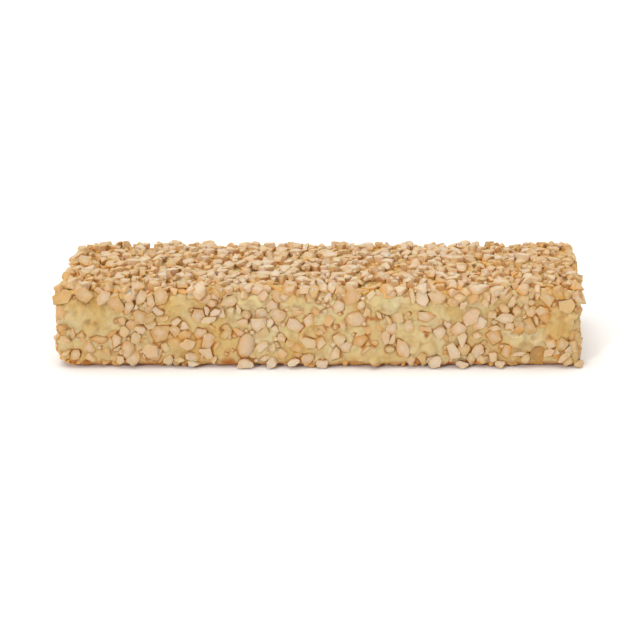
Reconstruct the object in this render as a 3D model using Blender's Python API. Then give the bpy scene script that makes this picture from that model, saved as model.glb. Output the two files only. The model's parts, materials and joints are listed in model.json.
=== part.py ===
# Nougat slice: a long bar of cream cake, coated in pale buttercream and pressed all over with chopped roasted nuts.
# The bar lies along X on the plane Z = 0, with the side that the photograph shows towards -Y.
# Cream and nuts hold together as one piece, so they are one solid: a block with the largest nuts fused on.

import math
import random

import bmesh
import bpy
from mathutils import Matrix, Vector, noise

# The cream block under the nuts, in metres
BLOCK_LENGTH = 0.2790
BLOCK_WIDTH = 0.0775
BLOCK_HEIGHT = 0.0442
EDGE_RADIUS = 0.0040
FOOT_RISE = 0.0046  # below this the sides round in under the bar
FOOT_INSET = 0.0070
FOOT_CUTS = (0.12, 0.45)  # heights of the edges that shape the rounding, as shares of the rise
END_SLANT = 0.057  # the ends are cut a little askew: sideways run for each metre across the bar

# The block's faces: a grid about this fine, with relief along its outward direction
GRID_STEP = 0.0066
GRID_STEP_UP = 0.0105
SPREAD_WAVE = 0.017  # length of the waves that the palette knife leaves
SPREAD_DEPTH = 0.0006
CRUST_BUMP = 0.0016  # bumps of the fine nuts that cover the top
CRUST_SHIFT = 0.0015
FACES_UP = 0.9  # upward share of the outward direction from which a point counts as the top

# Nuts that the sides and the top carry, on a jittered grid
TOP_PITCH = 0.0112
SIDE_PITCH = 0.0142
JITTER = 0.36  # of the pitch
NUT_LONG = (0.0078, 0.0124)
NUT_SHORT_SHARE = (0.55, 0.92)
NUT_THICK = (0.0036, 0.0052)
NUT_CORNERS = (4, 4, 5)
NUT_TAPER = (0.6, 0.9)
NUT_UNEVEN = 0.14  # shift of a chip's corners sideways, as a share of its size
NUT_LOWERED = 0.18  # the same in its height
KERNEL_UNEVEN = 0.04
TOP_PROUD = (0.0012, 0.0028)  # how far a nut stands out of the cream
SIDE_PROUD = (0.0009, 0.0021)
TILT = math.radians(19)
CLEAR_OF_TABLE = 0.0004
SHORTEST_EDGE = 0.00002
MOST_TRIANGLES = 11600
KEEP_APART = 0.75  # of the mean size of two neighbours, where one of them is placed by hand
SEED = 11

# Bare cream on the photographed side: (x, z, half width, half height) in millimetres
BARE_PATCHES = (
    (-128, 34.8, 7, 5),
    (-76, 36.8, 8, 5),
    (-36, 37.8, 8, 4),
    (-13, 37.8, 9, 4),
    (40, 36.8, 15, 5),
    (57, 12.8, 11, 5),
    (112, 13.8, 11, 4),
    (129, 24.8, 6, 6),
    (-2, 8.8, 7, 4),
    (31, 5.8, 13, 4),
)

# The largest nuts of that side: (x, z, long, short, turn in degrees, kind), sizes in millimetres
FRONT_NUTS = (
    (-101, 10.3, 12.4, 8.5, 82, "kernel"),
    (-84, 20.3, 13.5, 9.5, 38, "kernel"),
    (-95, 29.3, 9.5, 8.5, 20, "chip"),
    (-117, 16.3, 12.0, 5.0, -2, "chip"),
    (-107, 15.8, 8.8, 5.2, 80, "chip"),
    (-101, 34.8, 9.6, 4.6, 62, "chip"),
    (-130, 7.6, 6.5, 6.0, 10, "chip"),
    (-63, 29.8, 8.0, 7.2, 70, "chip"),
    (-62, 19.8, 8.2, 7.4, 60, "chip"),
    (-38, 12.5, 15.4, 9.6, 74, "kernel"),
    (-30, 30.3, 8.8, 6.6, 75, "chip"),
    (-21, 30.8, 9.0, 8.0, -40, "chip"),
    (-4, 27.3, 8.4, 6.4, 55, "chip"),
    (12, 34.8, 9.4, 7.0, 70, "chip"),
    (21, 28.3, 12.6, 10.4, 0, "kernel"),
    (15, 12.3, 8.6, 6.4, 0, "chip"),
    (23.5, 15.3, 8.6, 8.0, 30, "kernel"),
    (46, 11.8, 12.0, 7.0, -72, "chip"),
    (58, 29.8, 9.6, 5.8, 5, "chip"),
    (62, 4.8, 8.0, 5.4, 0, "chip"),
    (86, 10.3, 8.2, 7.0, 50, "chip"),
    (94, 17.3, 10.6, 9.2, 0, "chip"),
    (100, 28.8, 11.2, 6.4, -5, "chip"),
    (101, 8.8, 10.6, 5.4, 74, "chip"),
    (113, 24.3, 9.2, 6.8, -70, "chip"),
    (121, 28.3, 8.2, 7.6, 20, "chip"),
    (118, 8.2, 9.8, 9.0, 0, "chip"),
    (131, 13.8, 9.2, 8.0, 45, "chip"),
)

# Each side of the block: its centre, the directions that run along it and out of it, and its half sizes
HALF_LENGTH, HALF_WIDTH, HALF_HEIGHT = BLOCK_LENGTH / 2, BLOCK_WIDTH / 2, BLOCK_HEIGHT / 2
SIDES = {
    "top": ((0, 0, BLOCK_HEIGHT), (1, 0, 0), (0, 1, 0), HALF_LENGTH, HALF_WIDTH),
    "front": ((0, -HALF_WIDTH, HALF_HEIGHT), (1, 0, 0), (0, 0, 1), HALF_LENGTH, HALF_HEIGHT),
    "back": ((0, HALF_WIDTH, HALF_HEIGHT), (-1, 0, 0), (0, 0, 1), HALF_LENGTH, HALF_HEIGHT),
    "left": ((-HALF_LENGTH, 0, HALF_HEIGHT), (0, -1, 0), (0, 0, 1), HALF_WIDTH, HALF_HEIGHT),
    "right": ((HALF_LENGTH, 0, HALF_HEIGHT), (0, 1, 0), (0, 0, 1), HALF_WIDTH, HALF_HEIGHT),
}


def clear_scene():
    for obj in list(bpy.data.objects):
        bpy.data.objects.remove(obj)


def new_collection(name):
    collection = bpy.data.collections.new(name)
    bpy.context.scene.collection.children.link(collection)
    return collection


# Shape of the block


def on_block(point):
    """Where a point of the sharp-edged block lies once its edges are rounded, and the way out there."""
    inner = Vector((
        min(max(point.x, EDGE_RADIUS - HALF_LENGTH), HALF_LENGTH - EDGE_RADIUS),
        min(max(point.y, EDGE_RADIUS - HALF_WIDTH), HALF_WIDTH - EDGE_RADIUS),
        min(point.z, BLOCK_HEIGHT - EDGE_RADIUS),
    ))
    outward = (point - inner).normalized()
    place = inner + outward * EDGE_RADIUS
    depth = max(0, 1 - point.z / FOOT_RISE)
    drawn_in = FOOT_INSET * (1 - math.sqrt(1 - depth ** 2))
    place.x *= 1 - drawn_in / HALF_LENGTH
    place.y *= 1 - drawn_in / HALF_WIDTH
    return place, outward


def slanted(point):
    """The bar's ends aren't cut quite square."""
    return Vector((point.x + END_SLANT * point.y, point.y, point.z))


def spread(place):
    """How far the knife left the cream above or below its flat face."""
    return SPREAD_DEPTH * noise.noise(place / SPREAD_WAVE)


def stations(low, high, step):
    """Places from low to high, both included, evenly and about a step apart."""
    count = max(1, round((high - low) / step))
    return [low + (high - low) * i / count for i in range(count + 1)]


def cut_at(mesh, axis, places):
    """Divides the mesh by planes square to one axis."""
    for place in places:
        everything = [*mesh.verts, *mesh.edges, *mesh.faces]
        normal, point = Vector((0, 0, 0)), Vector((0, 0, 0))
        normal[axis], point[axis] = 1, place
        bmesh.ops.bisect_plane(mesh, geom=everything, plane_co=point, plane_no=normal)


def build_block(rng):
    mesh = bmesh.new()
    bmesh.ops.create_cube(mesh, size=1.0)
    bmesh.ops.scale(mesh, vec=(BLOCK_LENGTH, BLOCK_WIDTH, BLOCK_HEIGHT), verts=mesh.verts)
    bmesh.ops.translate(mesh, vec=(0, 0, HALF_HEIGHT), verts=mesh.verts)
    far_x, far_y, far_z = HALF_LENGTH - EDGE_RADIUS, HALF_WIDTH - EDGE_RADIUS, BLOCK_HEIGHT - EDGE_RADIUS
    cut_at(mesh, 0, stations(-far_x, far_x, GRID_STEP))
    cut_at(mesh, 1, stations(-far_y, far_y, GRID_STEP))
    foot_edges = [FOOT_RISE * share for share in FOOT_CUTS]
    cut_at(mesh, 2, foot_edges + stations(FOOT_RISE, far_z, GRID_STEP_UP))

    underside = [f for f in mesh.faces if f.calc_center_median().z < foot_edges[0] / 4]
    bmesh.ops.dissolve_faces(mesh, faces=underside, use_verts=False)

    for vert in mesh.verts:
        place, outward = on_block(vert.co)
        if outward.z > FACES_UP:
            place += outward * CRUST_BUMP * rng.uniform(-1, 1)
            place.x += CRUST_SHIFT * rng.uniform(-1, 1)
            place.y += CRUST_SHIFT * rng.uniform(-1, 1)
        else:
            place += outward * spread(place)
        vert.co = slanted(place)

    bmesh.ops.triangulate(mesh, faces=mesh.faces)
    bmesh.ops.recalc_face_normals(mesh, faces=mesh.faces)
    return mesh


# Nuts


def angular_nut(mesh, rng):
    """A chopped piece: a low prism with four or five corners, narrower on top."""
    corners = rng.choice(NUT_CORNERS)
    taper = rng.uniform(*NUT_TAPER)
    bmesh.ops.create_cone(
        mesh, cap_ends=True, segments=corners, radius1=0.5, radius2=0.5 * taper, depth=1.0
    )
    for vert in mesh.verts:
        vert.co.x *= 1 + rng.uniform(-NUT_UNEVEN, NUT_UNEVEN)
        vert.co.y *= 1 + rng.uniform(-NUT_UNEVEN, NUT_UNEVEN)
        vert.co.z *= 1 - rng.uniform(0, NUT_LOWERED)


def kernel_nut(mesh, rng):
    """Half a nut, domed and smooth."""
    bmesh.ops.create_icosphere(mesh, subdivisions=2, radius=0.5)
    for vert in mesh.verts:
        vert.co *= 1 - rng.uniform(0, KERNEL_UNEVEN)


def frame_at(outward, along, turn, tilt, tilt_way):
    """Axes of a nut that lies on the cream: X along it, turned and tipped a little, and Z outwards."""
    across = outward.cross(along).normalized()
    axes = Matrix((across.cross(outward), across, outward)).transposed().to_4x4()
    tip = Matrix.Rotation(tilt, 4, Vector((math.cos(tilt_way), math.sin(tilt_way), 0)))
    return axes @ tip @ Matrix.Rotation(turn, 4, "Z")


def nut_rows(side, rng):
    """A jittered grid of nuts for one side, each as a dictionary."""
    centre, along, up, half_along, half_up = SIDES[side]
    pitch = TOP_PITCH if side == "top" else SIDE_PITCH
    columns, rows = round(2 * half_along / pitch), round(2 * half_up / pitch)
    for row in range(rows):
        for column in range(columns):
            u = (2 * (column + 0.5 + rng.uniform(-JITTER, JITTER)) / columns - 1) * half_along
            v = (2 * (row + 0.5 + rng.uniform(-JITTER, JITTER)) / rows - 1) * half_up
            long = rng.uniform(*NUT_LONG)
            yield {
                "side": side,
                "point": Vector(centre) + u * Vector(along) + v * Vector(up),
                "size": (long, long * rng.uniform(*NUT_SHORT_SHARE), rng.uniform(*NUT_THICK)),
                "turn": rng.uniform(0, math.tau),
                "tilt": rng.uniform(-TILT, TILT),
                "tilt_way": rng.uniform(0, math.tau),
                "proud": rng.uniform(*(TOP_PROUD if side == "top" else SIDE_PROUD)),
                "kind": "chip",
            }


def front_nut(x, z, long, short, turn, kind, rng):
    """One of the photographed side's largest nuts, from its size in millimetres."""
    return {
        "side": "front",
        "point": Vector((x / 1000, -HALF_WIDTH, z / 1000)),
        "size": (long / 1000, short / 1000, rng.uniform(*NUT_THICK)),
        "turn": math.radians(turn),
        "tilt": rng.uniform(-TILT, TILT) / 2,
        "tilt_way": rng.uniform(0, math.tau),
        "proud": rng.uniform(*SIDE_PROUD),
        "kind": kind,
    }


def on_bare_cream(nut):
    x, z = nut["point"].x * 1000, nut["point"].z * 1000
    return nut["side"] == "front" and any(
        ((x - px) / half_width) ** 2 + ((z - pz) / half_height) ** 2 < 1
        for px, pz, half_width, half_height in BARE_PATCHES
    )


def crowds(nut, others):
    return any(
        (nut["point"] - other["point"]).length < KEEP_APART * (nut["size"][0] + other["size"][0]) / 2
        for other in others
    )


def choose_nuts(rng):
    by_hand = [front_nut(*row, rng) for row in FRONT_NUTS]
    scattered = [nut for side in SIDES for nut in nut_rows(side, rng)]
    return by_hand + [nut for nut in scattered if not on_bare_cream(nut) and not crowds(nut, by_hand)]


def build_nut(nut, name, collection, rng):
    mesh = bmesh.new()
    (kernel_nut if nut["kind"] == "kernel" else angular_nut)(mesh, rng)
    bmesh.ops.scale(mesh, vec=nut["size"], verts=mesh.verts)

    place, outward = on_block(nut["point"])
    along = Vector(SIDES[nut["side"]][1])
    thickness = nut["size"][2]
    matrix = frame_at(outward, along, nut["turn"], nut["tilt"], nut["tilt_way"])
    matrix.translation = slanted(place + outward * (nut["proud"] - thickness / 2))
    mesh.transform(matrix)

    lowest = min(vert.co.z for vert in mesh.verts)
    if lowest < CLEAR_OF_TABLE:
        bmesh.ops.translate(mesh, vec=(0, 0, CLEAR_OF_TABLE - lowest), verts=mesh.verts)
    bmesh.ops.triangulate(mesh, faces=mesh.faces)
    bmesh.ops.recalc_face_normals(mesh, faces=mesh.faces)
    return link_mesh(mesh, name, collection)


# Assembly


def link_mesh(mesh, name, collection):
    data = bpy.data.meshes.new(name)
    mesh.to_mesh(data)
    mesh.free()
    obj = bpy.data.objects.new(name, data)
    collection.objects.link(obj)
    return obj


def fuse(block, nuts):
    """Joins the nuts to the block, and removes them as objects."""
    union = block.modifiers.new("nuts", "BOOLEAN")
    union.operation = "UNION"
    union.operand_type = "COLLECTION"
    union.collection = nuts
    union.solver = "MANIFOLD"
    bpy.context.view_layer.objects.active = block
    bpy.ops.object.modifier_apply(modifier=union.name)
    for obj in list(nuts.objects):
        bpy.data.objects.remove(obj)
    bpy.data.collections.remove(nuts)


def islands(mesh):
    """The connected groups of the mesh's points."""
    waiting = set(mesh.verts)
    found = []
    while waiting:
        group, edge_of_group = set(), [waiting.pop()]
        while edge_of_group:
            vert = edge_of_group.pop()
            group.add(vert)
            near = {edge.other_vert(vert) for edge in vert.link_edges} & waiting
            waiting -= near
            edge_of_group += near
        found.append(group)
    return found


def keep_outer_shell(obj):
    """Fills hollows that the nuts seal between them, and drops loose scraps, by keeping the largest shell."""
    mesh = bmesh.new()
    mesh.from_mesh(obj.data)
    bmesh.ops.triangulate(mesh, faces=mesh.faces)
    bmesh.ops.dissolve_degenerate(mesh, dist=SHORTEST_EDGE, edges=mesh.edges)
    bmesh.ops.triangulate(mesh, faces=mesh.faces)
    shells = sorted(islands(mesh), key=len)
    for shell in shells[:-1]:
        bmesh.ops.delete(mesh, geom=list(shell), context="VERTS")
    mesh.to_mesh(obj.data)
    mesh.free()


def thin_out(obj):
    """Collapses the shortest edges along the seams between nuts and cream, down to the triangles allowed."""
    collapse = obj.modifiers.new("seams", "DECIMATE")
    collapse.ratio = min(1, MOST_TRIANGLES / len(obj.data.polygons))
    bpy.context.view_layer.objects.active = obj
    bpy.ops.object.modifier_apply(modifier=collapse.name)


def coating_material():
    """Buttercream and nuts share one warm pale yellow here."""
    material = bpy.data.materials.new("nut_coated_cream")
    material.use_nodes = True
    shader = material.node_tree.nodes["Principled BSDF"]
    shader.inputs["Base Color"].default_value = (0.76, 0.53, 0.27, 1)
    shader.inputs["Roughness"].default_value = 0.55
    shader.inputs["Metallic"].default_value = 0.0
    return material


def main():
    clear_scene()
    rng = random.Random(SEED)
    slice_parts = new_collection("nougat_slice")
    pressed_in = new_collection("pressed_in_nuts")
    block = link_mesh(build_block(rng), "nougat_slice", slice_parts)
    for number, nut in enumerate(choose_nuts(rng)):
        build_nut(nut, f"nut_{number:03d}", pressed_in, rng)
    fuse(block, pressed_in)
    keep_outer_shell(block)
    thin_out(block)
    block.data.materials.append(coating_material())


main()
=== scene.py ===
import json
import math
import random

import bpy
import numpy as np
from mathutils import Matrix, Vector

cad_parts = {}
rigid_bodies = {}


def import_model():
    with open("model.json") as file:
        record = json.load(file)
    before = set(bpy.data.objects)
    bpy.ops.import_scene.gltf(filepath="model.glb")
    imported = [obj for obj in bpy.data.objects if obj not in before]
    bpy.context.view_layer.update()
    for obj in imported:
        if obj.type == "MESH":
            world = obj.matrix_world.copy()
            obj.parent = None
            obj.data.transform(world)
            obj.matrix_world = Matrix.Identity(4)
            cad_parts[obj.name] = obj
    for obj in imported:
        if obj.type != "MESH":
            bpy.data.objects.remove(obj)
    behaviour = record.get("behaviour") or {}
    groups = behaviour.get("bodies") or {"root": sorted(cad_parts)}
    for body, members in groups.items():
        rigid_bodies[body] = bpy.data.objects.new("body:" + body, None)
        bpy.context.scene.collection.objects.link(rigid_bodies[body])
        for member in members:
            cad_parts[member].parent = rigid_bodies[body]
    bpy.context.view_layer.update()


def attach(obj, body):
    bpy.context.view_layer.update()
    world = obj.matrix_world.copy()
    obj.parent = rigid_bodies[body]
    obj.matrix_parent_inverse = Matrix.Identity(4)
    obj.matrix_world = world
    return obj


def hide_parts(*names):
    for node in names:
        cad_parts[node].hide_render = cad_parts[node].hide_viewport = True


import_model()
mm = 0.001

# A long bar of cream cake on a pale floor: buttercream all round, chopped roasted nuts on the top and
# sides. Every nut that shows is modelled. One by one they are dropped on top or pressed into the sides, and
# the cream is shaped round them last.


# Small helpers

def srgb(hexColour):
    channels = [int(hexColour[i:i + 2], 16) / 255 for i in (1, 3, 5)]
    return tuple(c / 12.92 if c <= 0.04045 else ((c + 0.055) / 1.055) ** 2.4 for c in channels) + (1,)


def addNode(tree, kind, values=None, links=None, **settings):
    node = tree.nodes.new(kind)
    for name, value in settings.items():
        setattr(node, name, value)
    for name, value in (values or {}).items():
        node.inputs[name].default_value = value
    for name, socket in (links or {}).items():
        tree.links.new(socket, node.inputs[name])
    return node


def addRamp(tree, factor, stops):
    ramp = addNode(tree, "ShaderNodeValToRGB", links={"Fac": factor})
    points = ramp.color_ramp.elements
    points[0].position, points[0].color = stops[0][0], srgb(stops[0][1])
    points[1].position, points[1].color = stops[-1][0], srgb(stops[-1][1])
    for position, colour in stops[1:-1]:
        points.new(position).color = srgb(colour)
    return ramp.outputs["Color"]


def deselectAll():
    bpy.ops.object.select_all(action="DESELECT")


def editMode(on):
    bpy.ops.object.mode_set(mode="EDIT" if on else "OBJECT")


# Materials

def newMaterial(name):
    material = bpy.data.materials.new(name)
    material.use_nodes = True
    tree = material.node_tree
    return material, tree, tree.nodes["Principled BSDF"]


butterColours = {
    "fresh": "#D6C79C",
    "body": "#D0B984",
    "thin": "#CCA966",       # where the cream is dragged thin and the cake below tints it
    "paintedShade": "#AA5F02",     # painted shade: dark gold for the shaded seams, gaps, hollows and foot of the cream
    "patchSize": 22 * mm,    # of the fresh and the thin patches
    "streak": 1.7 * mm,      # of the fine grain
}


def makeButtercream():
    # Buttercream is fat and sugar whipped with air: matt to satin, and light passes a few mm into it
    material, tree, shader = newMaterial("whippedButtercream")
    place = addNode(tree, "ShaderNodeTexCoord").outputs["Object"]
    patches = addNode(tree, "ShaderNodeTexNoise",
                      {"Scale": 1 / butterColours["patchSize"], "Detail": 6.0, "Roughness": 0.6},
                      {"Vector": place})
    colour = addRamp(tree, patches.outputs["Fac"], (
        (0.34, butterColours["thin"]), (0.5, butterColours["body"]), (0.64, butterColours["fresh"])))
    # painted shade: the cream's colour is mixed towards the dark gold of its shaded seams, gaps and foot
    paintedShade = addNode(tree, "ShaderNodeAttribute", attribute_name="paintedShade").outputs["Fac"]
    shadeMixed = addNode(tree, "ShaderNodeMix", data_type="RGBA")
    tree.links.new(paintedShade, shadeMixed.inputs[0])
    tree.links.new(colour, shadeMixed.inputs[6])
    shadeMixed.inputs[7].default_value = srgb(butterColours["paintedShade"])
    tree.links.new(shadeMixed.outputs[2], shader.inputs["Base Color"])

    # air bubbles and the drag of the knife, about half a millimetre deep at most
    drawn = addNode(tree, "ShaderNodeMapping", {"Scale": (1, 1, 0.4)}, {"Vector": place})
    grain = addNode(tree, "ShaderNodeTexNoise",
                    {"Scale": 1 / butterColours["streak"], "Detail": 6.0, "Roughness": 0.62},
                    {"Vector": drawn.outputs[0]})
    bump = addNode(tree, "ShaderNodeBump", {"Strength": 1.0, "Distance": 0.8 * mm},
                   {"Height": grain.outputs["Fac"]})
    tree.links.new(bump.outputs["Normal"], shader.inputs["Normal"])
    shader.inputs["Roughness"].default_value = 0.6
    shader.inputs["IOR"].default_value = 1.46
    shader.inputs["Specular IOR Level"].default_value = 0.3
    shader.inputs["Subsurface Weight"].default_value = 0.7
    shader.inputs["Subsurface Radius"].default_value = (1.0, 0.68, 0.25)
    shader.inputs["Subsurface Scale"].default_value = 1.5 * mm
    return material


nutColours = {
    "blanched": "#D9C6AC",
    "pale": "#D3B999",
    "toasted": "#CBA775",
    "roasted": "#B18850",
    "shadedSeam": "#DB982C",     # painted shade: deep between the nuts, where light comes back orange
    "edges": 0.4,          # how much further the edges are roasted than the middles of the faces
    "ends": 0.22,          # painted shade: the nuts at the ends of the bar are made more roasted than those in its middle
    "mottle": 2.6 * mm,    # size of the roasting patches
    "wipe": 4.5 * mm,      # of the patches of cream wiped over a nut
    "grain": 1.0 * mm,
}


def makeNutFlesh():
    # A roasted, skinned nut: waxy flesh, oily enough for a soft sheen, paler where it is freshly broken
    material, tree, shader = newMaterial("roastedNutFlesh")
    place = addNode(tree, "ShaderNodeTexCoord").outputs["Object"]
    tone = addNode(tree, "ShaderNodeAttribute", attribute_name="tone").outputs["Fac"]
    mottle = addNode(tree, "ShaderNodeTexNoise",
                     {"Scale": 1 / nutColours["mottle"], "Detail": 5.0, "Roughness": 0.62},
                     {"Vector": place})
    shift = addNode(tree, "ShaderNodeMath", {1: 0.7, 2: -0.35}, {0: mottle.outputs["Fac"]},
                    operation="MULTIPLY_ADD")
    broken = addNode(tree, "ShaderNodeAttribute", attribute_name="broken").outputs["Fac"]
    browning = addNode(tree, "ShaderNodeMath", {1: -nutColours["edges"], 2: nutColours["edges"] * 0.35},
                       {0: broken}, operation="MULTIPLY_ADD")
    patchy = addNode(tree, "ShaderNodeMath", links={0: tone, 1: shift.outputs[0]}, operation="ADD")
    roast = addNode(tree, "ShaderNodeMath", links={0: patchy.outputs[0], 1: browning.outputs[0]},
                    operation="ADD")
    colour = addRamp(tree, roast.outputs[0], (
        (0.05, nutColours["blanched"]), (0.35, nutColours["pale"]), (0.65, nutColours["toasted"]),
        (1.0, nutColours["roasted"])))

    # cream wiped thinly over a nut: patches of it, more of them the higher the nut's film value
    film = addNode(tree, "ShaderNodeAttribute", attribute_name="film").outputs["Fac"]
    wipe = addNode(tree, "ShaderNodeTexNoise", {"Scale": 1 / nutColours["wipe"], "Detail": 3.0},
                   {"Vector": place})
    edge = addNode(tree, "ShaderNodeMath", {1: 1.0}, {0: wipe.outputs["Fac"]}, operation="SUBTRACT")
    over = addNode(tree, "ShaderNodeMath", links={0: film, 1: edge.outputs[0]}, operation="ADD")
    share = addNode(tree, "ShaderNodeMapRange", {"From Min": -0.3, "From Max": 0.25, "To Max": 0.85},
                    {"Value": over.outputs[0]})
    wiped = addNode(tree, "ShaderNodeMix", data_type="RGBA")
    tree.links.new(share.outputs[0], wiped.inputs[0])
    tree.links.new(colour, wiped.inputs[6])
    wiped.inputs[7].default_value = srgb(butterColours["body"])
    # painted shade: points low between the nuts are mixed towards the orange seam colour
    shadedSeam = addNode(tree, "ShaderNodeAttribute", attribute_name="shadedSeam").outputs["Fac"]
    seamShadeMixed = addNode(tree, "ShaderNodeMix", data_type="RGBA")
    tree.links.new(shadedSeam, seamShadeMixed.inputs[0])
    tree.links.new(wiped.outputs[2], seamShadeMixed.inputs[6])
    seamShadeMixed.inputs[7].default_value = srgb(nutColours["shadedSeam"])
    tree.links.new(seamShadeMixed.outputs[2], shader.inputs["Base Color"])

    grain = addNode(tree, "ShaderNodeTexNoise",
                    {"Scale": 1 / nutColours["grain"], "Detail": 5.0, "Roughness": 0.62},
                    {"Vector": place})
    bump = addNode(tree, "ShaderNodeBump", {"Strength": 1.0, "Distance": 0.5 * mm},
                   {"Height": grain.outputs["Fac"]})
    tree.links.new(bump.outputs["Normal"], shader.inputs["Normal"])
    shader.inputs["Roughness"].default_value = 0.55
    shader.inputs["IOR"].default_value = 1.47
    shader.inputs["Specular IOR Level"].default_value = 0.3
    shader.inputs["Subsurface Weight"].default_value = 0.85
    shader.inputs["Subsurface Radius"].default_value = (1.0, 0.72, 0.2)
    shader.inputs["Subsurface Scale"].default_value = 1.5 * mm
    return material


buttercream = makeButtercream()
nutFlesh = makeNutFlesh()
print("materials made")


# The bar's form, shared by the cream and by the nuts that lie on it

bar = {
    "length": 279 * mm,
    "width": 77.5 * mm,
    "height": 42.4 * mm,
    "edgeRadius": 3.8 * mm,
    "endSlant": 0.057,      # sideways run of the ends for each metre across the bar
    "footRise": 4.6 * mm,   # below this the sides round in under the bar
    "footInset": 7.0 * mm,
    "leftLean": 0.05,       # how far the left end leans in for each metre of height
    "wornCorner": (16 * mm, 11 * mm, 6 * mm),   # reach, height and depth of its worn front foot
}
halfLength, halfWidth, halfHeight = bar["length"] / 2, bar["width"] / 2, bar["height"] / 2

sides = {
    "top": {"centre": (0, 0, bar["height"]), "along": (1, 0, 0), "up": (0, 1, 0),
            "half": (halfLength, halfWidth)},
    "front": {"centre": (0, -halfWidth, halfHeight), "along": (1, 0, 0), "up": (0, 0, 1),
              "half": (halfLength, halfHeight)},
    "back": {"centre": (0, halfWidth, halfHeight), "along": (-1, 0, 0), "up": (0, 0, 1),
             "half": (halfLength, halfHeight)},
    "left": {"centre": (-halfLength, 0, halfHeight), "along": (0, -1, 0), "up": (0, 0, 1),
             "half": (halfWidth, halfHeight)},
    "right": {"centre": (halfLength, 0, halfHeight), "along": (0, 1, 0), "up": (0, 0, 1),
              "half": (halfWidth, halfHeight)},
}
cell = 0.5 * mm          # of the height maps that keep track of what covers each side
creamReach = 0.3 * mm    # a nut goes into the cream where its underside is no higher than this
floorGap = 0.2 * mm      # and no nut reaches lower over the floor than this


def onBlock(points):
    # rounds the edges of the sharp block: where its points lie then, and the way out of the cream there
    radius = bar["edgeRadius"]
    inner = points.copy()
    inner[:, 0] = np.clip(points[:, 0], radius - halfLength, halfLength - radius)
    inner[:, 1] = np.clip(points[:, 1], radius - halfWidth, halfWidth - radius)
    inner[:, 2] = np.minimum(points[:, 2], bar["height"] - radius)
    outward = points - inner
    outward /= np.maximum(np.linalg.norm(outward, axis=1, keepdims=True), 1e-9)
    places = inner + outward * radius
    low = np.clip(1 - points[:, 2:] / bar["footRise"], 0, 1)
    inset = bar["footInset"] * (1 - np.sqrt(1 - low ** 2))
    places[:, :2] *= 1 - inset / np.array((halfLength, halfWidth))
    reach, rise, depth = bar["wornCorner"]
    near = np.clip(1 - np.hypot(points[:, 0] + halfLength, points[:, 1] + halfWidth) / reach, 0, 1)
    places[:, 0] += depth * near * np.clip(1 - points[:, 2] / rise, 0, 1) ** 2
    return places, outward


def slanted(places):
    moved = places.copy()
    moved[:, 0] += bar["endSlant"] * places[:, 1]
    moved[:, 0] += bar["leftLean"] * places[:, 2] * np.clip(-places[:, 0] / halfLength, 0, 1)
    return moved


def unslanted(places):
    moved = places.copy()
    moved[:, 0] -= bar["endSlant"] * places[:, 1]
    moved[:, 0] -= bar["leftLean"] * places[:, 2] * np.clip(-moved[:, 0] / halfLength, 0, 1)
    return moved


def startMaps():
    for side in sides.values():
        side["along"], side["up"] = np.array(side["along"], float), np.array(side["up"], float)
        side["out"] = np.cross(side["along"], side["up"])
        shape = tuple(int(2 * half / cell) for half in side["half"])
        side["pile"] = np.zeros(shape)      # height of the nuts above the cream
        side["sunk"] = np.zeros(shape)      # 1 where a clean nut goes into the cream
        side["drape"] = np.zeros(shape)     # how far the cream is drawn up over the other nuts
        side["draped"] = np.zeros(shape)    # 1 where they are
        side["lumps"] = np.zeros(shape)     # height of the lumps that smothered nuts make in the cream


startMaps()


# Nuts: a few shapes of each kind, chopped from a ball, then copied over the bar

# Long and thick are half sizes in mm, and short is a share of long. Each cut goes in at a share of the
# ball's radius. Edges up to the soften angle are smooth.
shapeSeed = 5
nutKinds = {
    "halfKernels": {"shapes": 5, "roundness": 2, "soften": math.radians(40),
                    "rimCuts": 0, "rimAt": (), "faceCuts": (), "belly": 0.12, "pale": None,
                    "long": (6.2, 7.4), "short": (0.60, 0.70), "thick": (2.6, 3.2)},
    "slabs": {"shapes": 10, "roundness": 2, "soften": math.radians(38),
              "rimCuts": 5, "rimAt": (0.45, 0.75), "faceCuts": (0.34, 0.36), "belly": None, "pale": None,
              "long": (4.0, 6.0), "short": (0.6, 0.9), "thick": (1.7, 2.6)},
    "chips": {"shapes": 16, "roundness": 2, "soften": math.radians(42),
              "rimCuts": 7, "rimAt": (0.5, 0.82), "faceCuts": (0.56, 0.66), "belly": None, "pale": None,
              "long": (2.6, 4.2), "short": (0.72, 1.0), "thick": (2.2, 3.4)},
    "slivers": {"shapes": 8, "roundness": 1, "soften": math.radians(38),
                "rimCuts": 5, "rimAt": (0.42, 0.72), "faceCuts": (0.5, 0.5), "belly": None, "pale": None,
                "long": (2.8, 4.6), "short": (0.36, 0.52), "thick": (1.0, 1.7)},
    "shards": {"shapes": 12, "roundness": 1, "soften": math.radians(30),
               "rimCuts": 5, "rimAt": (0.42, 0.7), "faceCuts": (0.42, 0.46), "belly": None, "pale": None,
               "long": (2.5, 4.6), "short": (0.56, 0.95), "thick": (1.5, 2.5)},
    "crumbs": {"shapes": 8, "roundness": 1, "soften": math.radians(52),
               "rimCuts": 4, "rimAt": (0.5, 0.8), "faceCuts": (0.5,), "belly": None, "pale": 0.35,
               "long": (1.0, 1.9), "short": (0.6, 1.0), "thick": (0.7, 1.3)},
}


def cutAway(way, distance):
    bpy.ops.mesh.select_all(action="SELECT")
    bpy.ops.mesh.bisect(plane_co=way * distance, plane_no=way, use_fill=True, clear_outer=True)


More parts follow.
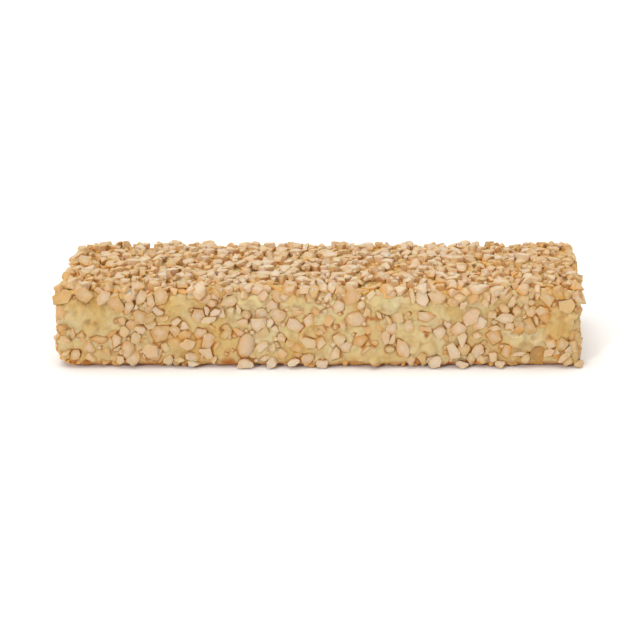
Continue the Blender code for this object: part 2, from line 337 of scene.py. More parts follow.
def chopNut(name, recipe, rng):
    deselectAll()
    bpy.ops.mesh.primitive_ico_sphere_add(subdivisions=recipe["roundness"], radius=1)
    nut = bpy.context.object
    nut.name = name
    editMode(True)
    start = rng.uniform(0, math.tau)
    for number in range(recipe["rimCuts"]):
        turn = start + (number + rng.uniform(-0.28, 0.28)) * math.tau / recipe["rimCuts"]
        way = Vector((math.cos(turn), math.sin(turn), rng.uniform(-0.45, 0.45))).normalized()
        cutAway(way, rng.uniform(*recipe["rimAt"]))
    for number, distance in enumerate(recipe["faceCuts"]):
        way = Vector((rng.uniform(-0.14, 0.14), rng.uniform(-0.14, 0.14), 1 - 2 * number)).normalized()
        cutAway(way, distance * rng.uniform(0.85, 1.15))
    if recipe["belly"] is not None:
        cutAway(Vector((0, 0, -1)), recipe["belly"])
    bpy.ops.mesh.select_all(action="SELECT")
    bpy.ops.mesh.dissolve_limited(angle_limit=math.radians(3))
    editMode(False)

    # fits the shape to a box of 2 x 2 x 2, so that a copy's scale is its half sizes
    corners = np.array([vert.co for vert in nut.data.vertices])
    middle = (corners.max(0) + corners.min(0)) / 2
    spans = (corners.max(0) - corners.min(0)) / 2
    fitted = Matrix.Diagonal(Vector(1 / spans)).to_4x4() @ Matrix.Translation(-Vector(middle))
    nut.data.transform(fitted)
    normals = np.array([face.normal for face in nut.data.polygons])
    centres = np.array([face.center for face in nut.data.polygons])

    # a point in the middle of each broken face, where the flesh is paler than along the edges;
    # crumbs are too small for that and have one value all over
    if recipe["pale"] is None:
        editMode(True)
        bpy.ops.mesh.select_face_by_sides(number=4, type="GREATER", extend=False)
        bpy.ops.mesh.poke()
        editMode(False)
        pale = [float(number >= len(corners)) for number in range(len(nut.data.vertices))]
    else:
        pale = [recipe["pale"]] * len(nut.data.vertices)
    nut.data.attributes.new("broken", "FLOAT", "POINT").data.foreach_set("value", pale)
    bpy.ops.object.shade_smooth_by_angle(angle=recipe["soften"])
    nut.data.materials.append(nutFlesh)
    return nut, {"normals": normals, "offsets": (normals * centres).sum(1)}


def chopAll():
    rng = random.Random(shapeSeed)
    for kind, recipe in nutKinds.items():
        recipe["masters"] = bpy.data.collections.new(f"{kind}Shapes")
        recipe["planes"] = []
        recipe["copies"] = []
        for number in range(recipe["shapes"]):
            nut, planes = chopNut(f"{kind}{number:02d}", recipe, rng)
            for collection in list(nut.users_collection):
                collection.objects.unlink(nut)
            recipe["masters"].objects.link(nut)
            recipe["planes"].append(planes)


chopAll()
print("nut shapes chopped")


# Laying the nuts

def turned(yaw, tilt, tiltWay, flip):
    matrix = Matrix.Rotation(tilt, 3, Vector((math.cos(tiltWay), math.sin(tiltWay), 0)))
    matrix = matrix @ Matrix.Rotation(yaw, 3, "Z")
    if flip:
        matrix = matrix @ Matrix.Rotation(math.pi, 3, "X")
    return np.array(matrix)


def newNut(kind, rng, tilt, size=None, yaw=None, tone=None):
    recipe = nutKinds[kind]
    if size is None:
        long = rng.uniform(*recipe["long"])
        size = (long, long * rng.uniform(*recipe["short"]), rng.uniform(*recipe["thick"]))
    yaw = rng.uniform(0, math.tau) if yaw is None else yaw
    flip = kind != "halfKernels" and rng.random() < 0.5
    return {
        "kind": kind,
        "shape": rng.randrange(recipe["shapes"]),
        "size": np.array(size) * mm,
        "turn": turned(yaw, tilt, rng.uniform(0, math.tau), flip),
        "tone": min(1, max(0, rng.gauss(0.4, 0.13))) if tone is None else tone,
        "film": rng.uniform(0, 0.2),
        "clean": True,       # not hugged by the cream, so a seam shows round it
        "smothered": False,  # only a lump in the cream
    }


def footprint(side, nut, u, v):
    # the cells that the nut is over, and its underside and upper side there, measured from its middle
    planes = nutKinds[nut["kind"]]["planes"][nut["shape"]]
    normals = (planes["normals"] / nut["size"]) @ nut["turn"].T
    lengths = np.linalg.norm(normals, axis=1)
    normals, offsets = normals / lengths[:, None], planes["offsets"] / lengths

    reach = nut["size"].max() * 1.3
    steps = []
    for axis, middle in enumerate((u, v)):
        count = side["pile"].shape[axis]
        low = max(0, int((middle - reach + side["half"][axis]) / cell))
        high = min(count, int((middle + reach + side["half"][axis]) / cell) + 1)
        steps.append(np.arange(low, high))
    if not len(steps[0]) or not len(steps[1]):
        return None
    rows, columns = [grid.ravel() for grid in np.meshgrid(*steps, indexing="ij")]
    du = (rows + 0.5) * cell - side["half"][0] - u
    dv = (columns + 0.5) * cell - side["half"][1] - v
    room = offsets[:, None] - normals[:, :1] * du - normals[:, 1:2] * dv
    facesUp, facesDown = normals[:, 2] > 0.03, normals[:, 2] < -0.03
    upright = ~facesUp & ~facesDown
    upper = (room[facesUp] / normals[facesUp, 2:]).min(0)
    lower = (room[facesDown] / normals[facesDown, 2:]).max(0)
    under = (upper > lower) & (room[upright] >= 0).all(0)
    if under.sum() < 3:
        return None
    return rows[under], columns[under], lower[under], upper[under]


def restingHeight(side, cells, share):
    rows, columns, lower, _ = cells
    return np.quantile(side["pile"][rows, columns] - lower, share)


def keepNut(side, nut, u, v, height, cells):
    # marks the nut on the side's maps and notes its copy, upright on the rounded and slanted bar
    rows, columns, lower, upper = cells
    if nut["smothered"]:
        lump = height + upper + sideNuts["lumpCover"]
        side["lumps"][rows, columns] = np.maximum(side["lumps"][rows, columns], lump)
        return
    side["pile"][rows, columns] = np.maximum(side["pile"][rows, columns], height + upper)
    inCream = (height + upper > 0) & (height + lower < creamReach)
    if nut["clean"]:
        side["sunk"][rows[inCream], columns[inCream]] = 1
    else:
        cover = height + upper - sideNuts["drapeGap"]
        side["drape"][rows, columns] = np.maximum(side["drape"][rows, columns], cover)
        side["draped"][rows, columns] = 1
    sharp = np.array(side["centre"]) + u * side["along"] + v * side["up"]
    place, outward = onBlock(sharp[None])
    out = outward[0]
    along = side["along"] - side["along"].dot(out) * out
    along /= np.linalg.norm(along)
    axes = np.column_stack((along, np.cross(out, along), out)) @ nut["turn"]
    middle = slanted(place + outward * height)[0]
    lowest = middle[2] - np.abs(axes[2] * nut["size"]).sum()
    middle[2] += max(0, floorGap - lowest)
    nutKinds[nut["kind"]]["copies"].append({
        "place": middle,
        "turn": tuple(Matrix(axes.tolist()).to_euler()),
        "size": nut["size"],
        "shape": nut["shape"],
        # painted shade: nuts towards the ends of the bar are darkened
        "tone": nut["tone"] + nutColours["ends"] * ((middle[0] / halfLength) ** 2 - 0.4),
        "film": nut["film"],
        "heaped": float(side is sides["top"]),
    })


topping = {
    "seed": 21,
    "halfKernels": 16,
    "slabs": 180,
    "chips": 640,
    "slivers": 110,
    "shards": 360,
    "crumbs": 620,
    "tries": 3,                 # places tried for each nut; it takes the lowest
    "onEdge": 0.36,             # share of the nuts that stand on edge
    "tilt": math.radians(36),
    "share": 0.72,              # a nut rests where this share of its underside is in the clear
    "ceiling": 5.2 * mm,        # nothing lies higher over the cream than this
    "press": 0.3 * mm,          # how deep nuts are pressed in
    "rimPress": 2.4 * mm,       # and how much deeper along the edges
    "rimReach": 6 * mm,
    "back": 1.2 * mm,           # middles stay this far in from the edges
    "edgeAngles": (55, 90),     # tilt in degrees of the nuts on edge
}


def coverTop():
    rng = random.Random(topping["seed"])
    side = sides["top"]
    order = [kind for kind in nutKinds if kind != "crumbs" for _ in range(topping[kind])]
    rng.shuffle(order)
    order += ["crumbs"] * topping["crumbs"]
    for kind in order:
        best = None
        for _ in range(topping["tries"]):
            tilt = rng.gauss(0, topping["tilt"])
            if rng.random() < topping["onEdge"]:
                tilt = math.radians(rng.uniform(*topping["edgeAngles"]))
            nut = newNut(kind, rng, tilt)
            u, v = [rng.uniform(-1, 1) * (half - topping["back"]) for half in side["half"]]
            cells = footprint(side, nut, u, v)
            if cells is None:
                continue
            fromRim = min(half - abs(at) for half, at in zip(side["half"], (u, v)))
            nearRim = max(0, 1 - fromRim / topping["rimReach"])
            press = topping["press"] + topping["rimPress"] * nearRim ** 1.5
            height = restingHeight(side, cells, topping["share"]) - press
            top = height + cells[3].max()
            if top < topping["ceiling"] and (best is None or top < best[0]):
                best = (top, nut, u, v, height, cells)
        if best:
            keepNut(side, *best[1:])


# Counts are for a long side, besides the nuts listed for the front
sideNuts = {
    "seed": 31,
    "slabs": 60,
    "chips": 100,
    "shards": 140,
    "slivers": 66,
    "crumbs": 150,
    "halfKernels": 8,           # only on the sides that the photograph hides
    "tries": 14,                # places tried for each nut; it takes the first that fits
    "tilt": math.radians(13),
    "overlap": 0.1,             # share of a nut that may cover another
    "listedOverlap": 0.5,       # and that for a listed nut
    "proud": (0.3, 2.6),        # mm that a pressed nut stands out of the cream
    "loose": 0.10,              # share that lies on the others instead
    "looseShare": 0.6,          # it rests where this share of its underside is in the clear
    "loosePress": 0.5 * mm,
    "looseCeiling": 1.2 * mm,   # with its middle no further out than this
    "clean": 0.42,              # share that the cream doesn't hug
    "drapeGap": 0.42 * mm,      # this much of the others stands out of the cream drawn up round them
    "smothered": 0.45,          # share of those due in a bare patch that stay, as lumps in the cream
    "lumpCover": 0.3 * mm,      # cream over a smothered nut
    "highShare": 0.26,          # share that is pressed in just below the top edge
    "film": (0, 0.48),          # cream wiped over them, from none to half covered
    "footProud": 3.4 * mm,      # how far the nuts listed for the foot stand out
}

# Bare cream on the photographed side: (x, z, half width, half height) in mm
barePatches = (
    (-122, 29.0, 14, 10), (-76, 36.8, 10, 6), (-36, 37.8, 8, 4), (-13, 37.8, 9, 4), (40, 36.8, 15, 6),
    (57, 12.8, 11, 6), (112, 14.5, 12, 5), (129, 25.8, 8, 9), (-2, 8.8, 7, 4), (31, 5.8, 14, 5),
    (66, 33.0, 14, 5), (-48, 27.0, 6, 4), (-15, 21.0, 6, 4),
)

# The largest nuts of that side: (x, z, long, short, turn in degrees, kind, tone), sizes in mm
frontNuts = (
    (-101, 10.3, 13.6, 9.2, 82, "halfKernels", 0.3), (-84, 20.3, 13.5, 9.5, 38, "slabs", 0.6),
    (-95, 29.3, 9.5, 8.5, 20, "slabs", 0.5), (-117, 16.3, 12.0, 5.0, -2, "slabs", 0.6),
    (-107, 15.8, 8.8, 5.2, 80, "slabs", 0.4), (-101, 34.8, 9.6, 4.6, 62, "slabs", 0.3),
    (-130, 7.6, 6.5, 6.0, 10, "chips", 0.4), (-63, 29.8, 8.0, 7.2, 70, "slabs", 0.5),
    (-62, 19.8, 8.2, 7.4, 60, "slabs", 0.45), (-38, 12.5, 15.8, 10.2, 74, "halfKernels", 0.32),
    (-30, 30.3, 8.8, 6.6, 75, "slabs", 0.35), (-21, 30.8, 9.0, 8.0, -40, "slabs", 0.55),
    (-4, 27.3, 8.4, 6.4, 55, "slabs", 0.4), (12, 34.8, 9.4, 7.0, 70, "slabs", 0.3),
    (21, 28.3, 13.6, 10.8, 0, "halfKernels", 0.3), (15, 12.3, 8.6, 6.4, 0, "slabs", 0.4),
    (23.5, 15.3, 8.6, 8.0, 30, "slabs", 0.66), (46, 11.8, 12.0, 7.0, -72, "slabs", 0.4),
    (58, 29.8, 9.6, 5.8, 5, "slabs", 0.35), (62, 4.8, 8.0, 5.4, 0, "chips", 0.3),
    (86, 10.3, 8.2, 7.0, 50, "slabs", 0.4), (94, 17.3, 10.6, 9.2, 0, "slabs", 0.55),
    (100, 28.8, 11.2, 6.4, -5, "slabs", 0.3), (101, 8.8, 10.6, 5.4, 74, "slabs", 0.45),
    (113, 24.3, 9.2, 6.8, -70, "slabs", 0.6), (121, 28.3, 8.2, 7.6, 20, "slabs", 0.6),
    (118, 8.2, 9.8, 9.0, 0, "slabs", 1.0), (131, 13.8, 9.2, 8.0, 45, "slabs", 0.45),
)

# Nuts that stand out at its foot: (x, z, long, short, turn, tone)
footNuts = (
    (-66, 2.6, 7.0, 4.6, 5, 0.2), (-38, 3.0, 9.0, 5.2, -4, 0.3), (-24, 3.0, 6.4, 5.4, 20, 0.15),
    (-12, 3.4, 7.4, 4.8, 8, 0.2), (3, 2.6, 6.4, 4.6, 0, 0.25), (63.5, 3.2, 7.4, 6.4, 10, 0.2),
    (78.5, 2.4, 7.2, 4.4, -3, 0.25), (98.8, 2.6, 5.6, 4.4, 12, 0.3), (141.5, 2.4, 5.2, 4.2, 0, 0.35),
)


def patchesOf(name, rng):
    if name == "front":
        return [tuple(value * mm for value in patch) for patch in barePatches]
    side = sides[name]
    count = round(len(barePatches) * side["half"][0] / halfLength)
    return [(rng.uniform(-0.9, 0.9) * side["half"][0], rng.uniform(0.1, 0.95) * bar["height"],
             rng.uniform(7, 14) * mm, rng.uniform(4, 6) * mm) for _ in range(count)]


def isBare(patches, u, v):
    z = v + halfHeight
    return any(((u - x) / wide) ** 2 + ((z - middle) / tall) ** 2 < 1
               for x, middle, wide, tall in patches)


def pressIn(side, nut, u, v, proud, overlap):
    cells = footprint(side, nut, u, v)
    if cells is None:
        return False
    height = proud - cells[3].max()
    rows, columns, lower, upper = cells
    if (side["pile"][rows, columns] > 0.05 * mm).mean() > overlap:
        return False
    keepNut(side, nut, u, v, height, cells)
    return True


def coverSide(name, seed):
    rng = random.Random(seed)
    side = sides[name]
    patches = patchesOf(name, rng)
    if name == "front":
        for x, z, long, short, turn, kind, tone in frontNuts:
            tilt = rng.gauss(0, 0.09)
            size = (long / 2, short / 2, rng.uniform(*nutKinds[kind]["thick"]))
            nut = newNut(kind, rng, tilt, size, math.radians(turn), tone)
            proud = rng.uniform(2.2, 2.8) if kind == "halfKernels" else rng.uniform(0.9, 1.8)
            pressIn(side, nut, x * mm, z * mm - halfHeight, proud * mm, sideNuts["listedOverlap"])
        for x, z, long, short, turn, tone in footNuts:
            size = (long / 2, short / 2, 2.2)
            nut = newNut("chips", rng, 0, size, math.radians(turn), tone)
            pressIn(side, nut, x * mm, z * mm - halfHeight, sideNuts["footProud"],
                    sideNuts["listedOverlap"])
    for kind in nutKinds:
        if kind == "halfKernels" and name == "front":
            continue
        for _ in range(round(sideNuts[kind] * side["half"][0] / halfLength)):
            loose = rng.random() < sideNuts["loose"]
            for _ in range(sideNuts["tries"]):
                u, v = [rng.uniform(-1, 1) * (half - 0.3 * mm) for half in side["half"]]
                if rng.random() < sideNuts["highShare"]:
                    v = halfHeight - rng.uniform(-1, 5.5) * mm
                bare = isBare(patches, u, v)
                if bare and rng.random() > sideNuts["smothered"]:
                    continue
                nut = newNut(kind, rng, rng.gauss(0, sideNuts["tilt"]))
                nut["smothered"] = bare
                nut["clean"] = not bare and rng.random() < sideNuts["clean"]
                nut["film"] = rng.uniform(*sideNuts["film"])
                proud = rng.uniform(*sideNuts["proud"]) * mm * (0.5 if kind == "crumbs" else 1)
                if loose:
                    cells = footprint(side, nut, u, v)
                    if cells is None:
                        continue
                    height = restingHeight(side, cells, sideNuts["looseShare"]) - sideNuts["loosePress"]
                    if height < sideNuts["looseCeiling"]:
                        keepNut(side, nut, u, v, height, cells)
                        break
                elif pressIn(side, nut, u, v, proud, sideNuts["overlap"]):
                    break


coverTop()
for number, name in enumerate(("front", "back", "left", "right")):
    coverSide(name, sideNuts["seed"] + number)
print("nuts laid:", {kind: len(recipe["copies"]) for kind, recipe in nutKinds.items()})


# Buttercream: a fine closed skin with the knife's waves, dented round every nut

cream = {
    "seed": 8,
    "stepX": 0.7 * mm,
    "stepY": 1.0 * mm,
    "stepZ": 0.6 * mm,

    # relief of the cream itself: the knife's waves and smears, then lumps of two sizes
    "waveLength": 15 * mm, "waveDepth": 0.7 * mm,
    "smearLength": 9 * mm, "smearWidth": 1.6 * mm, "smearDepth": 0.24 * mm,
    "lumpLength": 4.5 * mm, "lumpDepth": 0.55 * mm,
    "fineLength": 1.9 * mm, "fineDepth": 0.42 * mm,

    # beside the nuts
    "seamDepth": 0.62 * mm,
    "seamShare": 0.22,
    "seamLength": 4 * mm,                      # seams gape along stretches of about this length
    "seamShifts": ((1, 0), (1, 1), (2, 1)),    # in cells: seams lie to the right of a nut and above it
    "rimHeight": 0.32 * mm,                    # the cream rises in a low rim round a clean nut
    "gapReach": 2,                             # in cells: gaps up to twice as wide are sunk
    "gapDepth": 0.35 * mm,
    "clear": 0.35 * mm,                        # clean nuts stand at least this far out of the cream
    "bareCore": 0.15 * mm,                     # and the middles of the others this far
    "bedRise": 0.6 * mm,                       # under the heap on top the cream wells up

    # the feet and the edge
    "raggedSeed": 14,
    "raggedFoot": 2.4 * mm, "raggedRise": 5.5 * mm, "raggedWidth": 2.8 * mm,
    "lip": 2.2 * mm, "lipReach": 2.4 * mm, "lipLength": 1.9 * mm,    # down the right front edge

    # how far the painted shade shows, from 0 to 1
    "nearShade": 0.95,                              # close to the nuts, in patches of the size below
    "shadePatchShare": 0.7,
    "shadePatchLength": 7 * mm,
    "gapShade": 0.7,
    "hollowShade": 0.18,                        # in the hollows of the bare cream
    "bedShadeShare": 0.35,                           # share of all this that is left under the heap
    "footShade": 0.9, "footShadeRise": 4.0 * mm,    # painted shade along the shaded foot
    "outerShade": 0.08,                         # painted shade: a little more low down and towards the ends
}


def spreadNoise(shape, waveCells, rng):
    # random heights on a coarse grid, drawn out smoothly to the whole map
    coarse = rng.uniform(-1, 1, [int(n / w) + 3 for n, w in zip(shape, waveCells)])
    for axis, (count, wave) in enumerate(zip(shape, waveCells)):
        at = np.arange(count) / wave
        low = at.astype(int)
        part = (at - low) ** 2 * (3 - 2 * (at - low))
        part = part.reshape([-1 if i == axis else 1 for i in range(2)])
        coarse = np.take(coarse, low, axis) * (1 - part) + np.take(coarse, low + 1, axis) * part
    return coarse


def grown(mask, cells):
    # the mask widened by some cells each way
    for _ in range(cells):
        padded = np.pad(mask, 1, mode="edge")
        mask = np.maximum.reduce([padded[1:-1, 1:-1], padded[:-2, 1:-1], padded[2:, 1:-1],
                                  padded[1:-1, :-2], padded[1:-1, 2:]])
    return mask


def softened(field, cells):
    # each cell becomes the mean of those within some cells of it
    width = 2 * cells + 1
    for axis in (0, 1):
        padded = np.pad(field, [(cells, cells) if i == axis else (0, 0) for i in (0, 1)], mode="edge")
        count = field.shape[axis]
        field = sum(np.take(padded, range(i, i + count), axis) for i in range(width)) / width
    return field


def creamMaps():
    # for each side the relief of the cream over the block, and how far its colour is darkened with painted
    # shade
    rng = np.random.default_rng(cream["seed"])
    for name, side in sides.items():
        shape = side["pile"].shape
        waves = spreadNoise(shape, [cream["waveLength"] / cell] * 2, rng) * cream["waveDepth"]
        smears = spreadNoise(shape, (cream["smearLength"] / cell, cream["smearWidth"] / cell), rng)
        lumps = spreadNoise(shape, [cream["lumpLength"] / cell] * 2, rng) * cream["lumpDepth"]
        lumps += spreadNoise(shape, [cream["fineLength"] / cell] * 2, rng) * cream["fineDepth"]
        gape = spreadNoise(shape, [cream["seamLength"] / cell] * 2, rng)
        gape = np.clip(cream["seamShare"] + 1.5 * gape, 0, 1)
        sunk = side["sunk"]

        # the seams beside clean nuts, the cream under them, and narrow gaps between nuts
        under = 1 - grown(1 - sunk, 1)
        piled = np.maximum(sunk, side["pile"] > cream["clear"])
        gaps = 1 - grown(1 - grown(piled, cream["gapReach"]), cream["gapReach"]) - piled
        beside = np.maximum.reduce([np.roll(sunk, shift, (0, 1)) for shift in cream["seamShifts"]])
        shadedSeam = np.clip(beside - under, 0, 1) * gape
        drape = softened(np.maximum(side["drape"], side["lumps"]), 1)
        side["relief"] = (waves + lumps + smears * cream["smearDepth"] + drape
                          - np.maximum(shadedSeam, under) * cream["seamDepth"] - gaps * cream["gapDepth"]
                          + softened(grown(sunk, 3) - sunk, 1) * cream["rimHeight"]
                          + (cream["bedRise"] if name == "top" else 0))

        # where the nuts show, the cream stays below them
        overNuts = np.where(sunk > 0, side["pile"] - cream["clear"], 1)
        core = 1 - grown(1 - side["draped"], 2)
        overNuts = np.where(core > 0, np.minimum(overNuts, side["pile"] - cream["bareCore"]), overNuts)
        side["relief"] = np.minimum(side["relief"], overNuts)

        # painted shade: the cream is darkened in the seams to the right of and above the clean nuts, near
        # the nuts in patches, in the narrow gaps between nuts and in the hollows of the bare cream, and
        # less under the heap on top
        near = softened(np.maximum(grown(sunk, 1), side["drape"] > 0), 1)
        shadePatches = spreadNoise(shape, [cream["shadePatchLength"] / cell] * 2, rng)
        shadePatches = np.clip(cream["shadePatchShare"] + shadePatches, 0, 1)
        hollows = np.clip(-(lumps + smears * cream["smearDepth"]) / cream["lumpDepth"], 0, 1)
        side["paintedShade"] = np.maximum.reduce([shadedSeam, cream["nearShade"] * near * shadePatches, cream["gapShade"] * gaps,
                                            cream["hollowShade"] * hollows])
        if name == "top":
            side["paintedShade"] *= cream["bedShadeShare"]


def sampled(side, field, points):
    # reads a side's map at points of the sharp block
    offset = points - np.array(side["centre"])
    places = []
    for axis, way in enumerate(("along", "up")):
        at = (offset @ side[way] + side["half"][axis]) / cell - 0.5
        places.append(np.clip(at, 0, field.shape[axis] - 1.001))
    low = [at.astype(int) for at in places]
    part = [at - start for at, start in zip(places, low)]
    values = 0
    for i in (0, 1):
        for j in (0, 1):
            weight = (part[0] if i else 1 - part[0]) * (part[1] if j else 1 - part[1])
            values = values + weight * field[low[0] + i, low[1] + j]
    return values


def blended(name, points, outward):
    # a map's value at points round the bar, passing smoothly from side to side over the edges
    value, total = 0, 1e-9
    for side in sides.values():
        share = np.maximum(0, outward @ side["out"]) ** 4
        value = value + share * sampled(side, side[name], points)
        total = total + share
    return value / total


def addPatch(side, stepU, stepV):
    deselectAll()
    counts = [max(1, round(2 * half / step)) for half, step in zip(side["half"], (stepU, stepV))]
    bpy.ops.mesh.primitive_grid_add(x_subdivisions=counts[0], y_subdivisions=counts[1], size=2)
    patch = bpy.context.object
    axes = np.column_stack((side["along"] * side["half"][0], side["up"] * side["half"][1], side["out"]))
    patch.data.transform(Matrix(axes.tolist()).to_4x4())
    patch.data.transform(Matrix.Translation(Vector(side["centre"])))
    return patch


def frayed(at):
    # an uneven value from 0 to 1 that changes along a line, between fixed random ones
    step = np.floor(at).astype(int)
    ragged = np.random.default_rng(cream["raggedSeed"]).uniform(0, 1, 400)
    return ragged[step % 400] * (1 - at + step) + ragged[(step + 1) % 400] * (at - step)


def makeCream():
    # a grid for each side but the underside, joined, closed below and then moved out to the relief
    steps = {"top": ("stepX", "stepY"), "front": ("stepX", "stepZ"), "back": ("stepX", "stepZ"),
             "left": ("stepY", "stepZ"), "right": ("stepY", "stepZ")}
    patches = [addPatch(sides[name], cream[u], cream[v]) for name, (u, v) in steps.items()]
    deselectAll()
    for patch in patches:
        patch.select_set(True)
    bpy.context.view_layer.objects.active = patches[0]
    bpy.ops.object.join()
    skin = bpy.context.object
    skin.name = "buttercream"
    editMode(True)
    bpy.ops.mesh.select_all(action="SELECT")
    bpy.ops.mesh.remove_doubles(threshold=0.05 * mm)
    bpy.ops.mesh.select_all(action="DESELECT")
    bpy.ops.mesh.select_non_manifold()
    bpy.ops.mesh.edge_face_add()
    bpy.ops.mesh.select_all(action="SELECT")
    bpy.ops.mesh.normals_make_consistent(inside=False)
    editMode(False)

    sharp = np.empty(len(skin.data.vertices) * 3)
    skin.data.vertices.foreach_get("co", sharp)
    sharp = sharp.reshape(-1, 3)
    place, outward = onBlock(sharp)
    relief, paintedShade = blended("relief", sharp, outward), blended("paintedShade", sharp, outward)

    # the foot is ragged all round, and the knife left a lip of cream down the right front edge
    foot = np.clip(1 - sharp[:, 2] / cream["raggedRise"], 0, 1)
    around = (sharp[:, 0] * 0.6 + sharp[:, 1]) / cream["raggedWidth"]
    inset = foot * cream["raggedFoot"] * (frayed(around) - 0.4)
    fromEdge = np.hypot(sharp[:, 0] - halfLength, sharp[:, 1] + halfWidth)
    edge = np.clip(1 - fromEdge / cream["lipReach"], 0, 1)
    lip = edge * cream["lip"] * (0.7 + 0.8 * frayed(sharp[:, 2] / cream["lipLength"]))

    place = slanted(place + outward * (relief - inset + lip)[:, None])
    place[:, 2] = np.maximum(place[:, 2], 0)
    place[sharp[:, 2] < 1e-6, 2] = 0
    skin.data.vertices.foreach_set("co", place.ravel())

    # painted shade: darker along the shaded foot, and a little low down and towards the ends
    low = np.clip(1.2 - sharp[:, 2] / cream["footShadeRise"], 0, 1)
    paintedShade = np.maximum(paintedShade, cream["footShade"] * low)
    outer = (sharp[:, 0] / halfLength) ** 2 + np.clip(1 - sharp[:, 2] / bar["height"], 0, 1) ** 2
    paintedShade = paintedShade + cream["outerShade"] * outer
    mark = skin.data.attributes.new("paintedShade", "FLOAT", "POINT")
    mark.data.foreach_set("value", np.clip(paintedShade, 0, 1).astype(np.float32))
    skin.data.materials.append(buttercream)
    skin.data.update()
    deselectAll()
    skin.select_set(True)
    bpy.context.view_layer.objects.active = skin
    bpy.ops.object.shade_smooth()
    return skin


creamMaps()
creamPiece = makeCream()
print("buttercream spread:", len(creamPiece.data.polygons), "faces")


# Copies of the nuts, one piece for each kind

def scatterTree(kind, masters):
    tree = bpy.data.node_groups.new(f"{kind}Scatter", "GeometryNodeTree")
    tree.interface.new_socket("Geometry", in_out="INPUT", socket_type="NodeSocketGeometry")
    tree.interface.new_socket("Geometry", in_out="OUTPUT", socket_type="NodeSocketGeometry")
    read = {}
    for name, dataType in (("turn", "FLOAT_VECTOR"), ("size", "FLOAT_VECTOR"), ("shape", "INT")):
        node = addNode(tree, "GeometryNodeInputNamedAttribute", data_type=dataType)
        node.inputs["Name"].default_value = name
        read[name] = next(socket for socket in node.outputs if socket.enabled)
    points = addNode(tree, "NodeGroupInput").outputs["Geometry"]
    shapes = addNode(tree, "GeometryNodeCollectionInfo",
                     {"Collection": masters, "Separate Children": True, "Reset Children": True})
    rotation = addNode(tree, "FunctionNodeEulerToRotation", links={"Euler": read["turn"]})
    copies = addNode(tree, "GeometryNodeInstanceOnPoints", {"Pick Instance": True}, {
        "Points": points, "Instance": shapes.outputs["Instances"], "Instance Index": read["shape"],
        "Rotation": rotation.outputs["Rotation"], "Scale": read["size"]})
    joined = addNode(tree, "GeometryNodeRealizeInstances",
                     links={"Geometry": copies.outputs["Instances"]})
    addNode(tree, "NodeGroupOutput", links={"Geometry": joined.outputs["Geometry"]})
    return tree


# Heights over the cream between which the painted seam shade fades out, and the most of it there is below
# them
seamShadeHeights = {
    "heaped": (1.3 * mm, 3.6 * mm),
    "mostHeaped": 0.66,
    "pressed": (-0.3 * mm, 0.8 * mm),
    "mostPressed": 0.76,
}


def markSeamShade(data):
    # how deep each point lies between its neighbours, from its height over the cream; the deeper, the more
    # painted shade
    points = np.empty(len(data.vertices) * 3)
    data.vertices.foreach_get("co", points)
    points = unslanted(points.reshape(-1, 3))
    heaped = np.empty(len(points))
    data.attributes["heaped"].data.foreach_get("value", heaped)
    radius = bar["edgeRadius"]
    offset = np.abs(points) - np.array((halfLength, halfWidth, bar["height"])) + radius
    height = np.linalg.norm(np.maximum(offset, 0), axis=1) + np.minimum(offset.max(1), 0) - radius
    height -= np.where(heaped > 0.5, 0, blended("relief", points, onBlock(points)[1]))
    low, high = [np.where(heaped > 0.5, *pair) for pair in zip(seamShadeHeights["heaped"], seamShadeHeights["pressed"])]
    mark = data.attributes.new("shadedSeam", "FLOAT", "POINT")
    most = np.where(heaped > 0.5, seamShadeHeights["mostHeaped"], seamShadeHeights["mostPressed"])
    mark.data.foreach_set("value", most * np.clip((high - height) / (high - low), 0, 1))


def makeNuts(kind, recipe):
    copies = recipe["copies"]
    data = bpy.data.meshes.new(kind)
    data.vertices.add(len(copies))
    data.vertices.foreach_set("co", np.ravel([copy["place"] for copy in copies]))
    for name, dataType, key in (("turn", "FLOAT_VECTOR", "vector"), ("size", "FLOAT_VECTOR", "vector"),
                                ("shape", "INT", "value"), ("tone", "FLOAT", "value"),
                                ("film", "FLOAT", "value"), ("heaped", "FLOAT", "value")):
        column = data.attributes.new(name, dataType, "POINT")
        column.data.foreach_set(key, np.ravel([copy[name] for copy in copies]))
    piece = bpy.data.objects.new(kind, data)
    bpy.context.scene.collection.objects.link(piece)
    deselectAll()
    piece.select_set(True)
    bpy.context.view_layer.objects.active = piece
    scatter = piece.modifiers.new("copies", "NODES")
    scatter.node_group = scatterTree(kind, recipe["masters"])
    bpy.ops.object.modifier_apply(modifier=scatter.name)
    markSeamShade(piece.data)
    return piece


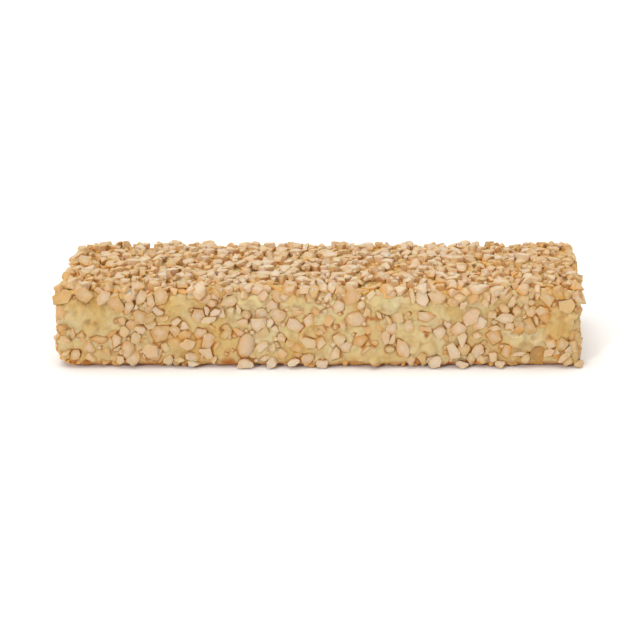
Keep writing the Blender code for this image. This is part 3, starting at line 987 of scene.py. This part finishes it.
nutPieces = [makeNuts(kind, recipe) for kind, recipe in nutKinds.items()]
for recipe in nutKinds.values():
    for master in list(recipe["masters"].objects):
        bpy.data.objects.remove(master)
    bpy.data.collections.remove(recipe["masters"])
for piece in nutPieces:
    print(piece.name, len(piece.data.polygons), "faces")

for piece in [creamPiece] + nutPieces:
    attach(piece, "root")
    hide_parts("nougat_slice")


# Floor, light and camera

studio = {
    "floor": "#FCFCFC",
    "walls": "#FFFDF9",      # a warm white all round, which fills the shadows
    "world": 0.68,
    "suns": (
        # a soft box straight above, and another in front and to the left
        {"name": "overhead", "power": 1.42, "from": (-0.1, 0.0, 1.0), "spread": math.radians(55)},
        {"name": "front", "power": 0.98, "from": (-0.55, -0.85, 0.5), "spread": math.radians(9)},
    ),
}
view = {
    "lens": 99.1,
    "place": (-0.0003, -0.915, 0.3558),
    "down": math.radians(20.54),
}


def makeFloor():
    deselectAll()
    bpy.ops.mesh.primitive_plane_add(size=6)
    floor = bpy.context.object
    floor.name = "floor"
    material, tree, shader = newMaterial("whitePaper")
    shader.inputs["Base Color"].default_value = srgb(studio["floor"])
    shader.inputs["Roughness"].default_value = 0.9
    shader.inputs["Specular IOR Level"].default_value = 0.0
    floor.data.materials.append(material)


def addSun(settings):
    sun = bpy.data.objects.new(settings["name"], bpy.data.lights.new(settings["name"], "SUN"))
    sun.data.energy = settings["power"]
    sun.data.angle = settings["spread"]
    sun.rotation_euler = Vector(settings["from"]).to_track_quat("Z", "Y").to_euler()
    bpy.context.scene.collection.objects.link(sun)


def makeStudio():
    world = bpy.data.worlds.new("studio")
    world.use_nodes = True
    world.node_tree.nodes["Background"].inputs["Color"].default_value = srgb(studio["walls"])
    world.node_tree.nodes["Background"].inputs["Strength"].default_value = studio["world"]
    bpy.context.scene.world = world
    for settings in studio["suns"]:
        addSun(settings)
    bpy.context.scene.view_settings.view_transform = "Standard"


def makeCamera():
    camera = bpy.data.objects.new("camera", bpy.data.cameras.new("camera"))
    camera.data.lens = view["lens"]
    camera.data.sensor_width = 36
    camera.location = view["place"]
    camera.rotation_euler = (math.pi / 2 - view["down"], 0, 0)
    bpy.context.scene.collection.objects.link(camera)
    bpy.context.scene.camera = camera


makeFloor()
makeStudio()
makeCamera()
print("studio set")
